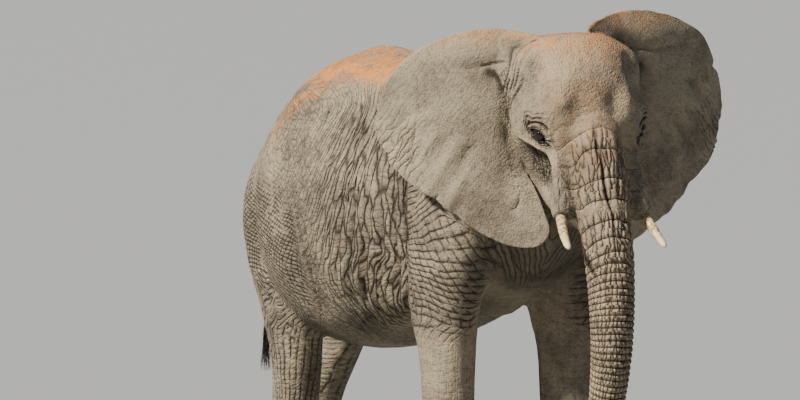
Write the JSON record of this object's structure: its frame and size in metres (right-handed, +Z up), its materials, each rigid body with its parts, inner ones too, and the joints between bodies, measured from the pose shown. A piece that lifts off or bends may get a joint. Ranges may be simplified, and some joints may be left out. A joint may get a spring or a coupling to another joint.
{
  "type": "african savanna elephant",
  "caption": "Life-size still model of an adult African savanna elephant in mid-step, head turned to its right, ears spread, trunk hanging, short tusks.",
  "frame": {"origin": "on the floor, under the centre of the box round the whole animal", "axes": "+Z up; -Y the way the body faces; +X towards the animal's left side"},
  "size_m": [1.7911, 3.6651, 2.788],
  "materials": {
    "elephant_hide": "dry, deeply wrinkled grey-brown hide",
    "ivory": "worn cream ivory",
    "eye": "wet dark brown",
    "tail_wires": "stiff black hair"
  },
  "bodies": {
    "root": {"belly": "elephant_hide", "chest": "elephant_hide", "ear_left": "elephant_hide", "ear_right": "elephant_hide", "eye_left": "eye", "eye_right": "eye", "fore_left_foot": "elephant_hide", "fore_left_lower": "elephant_hide", "fore_left_upper": "elephant_hide", "fore_right_foot": "elephant_hide", "fore_right_lower": "elephant_hide", "fore_right_upper": "elephant_hide", "head": "elephant_hide", "hind_left_foot": "elephant_hide", "hind_left_lower": "elephant_hide", "hind_left_upper": "elephant_hide", "hind_right_foot": "elephant_hide", "hind_right_lower": "elephant_hide", "hind_right_upper": "elephant_hide", "neck": "elephant_hide", "rump": "elephant_hide", "tail_lower": "elephant_hide", "tail_tuft": "tail_wires", "tail_upper": "elephant_hide", "trunk_lower": "elephant_hide", "trunk_middle": "elephant_hide", "trunk_tip": "elephant_hide", "trunk_upper": "elephant_hide", "tusk_left": "ivory", "tusk_right": "ivory"}
  },
  "joints": []
}
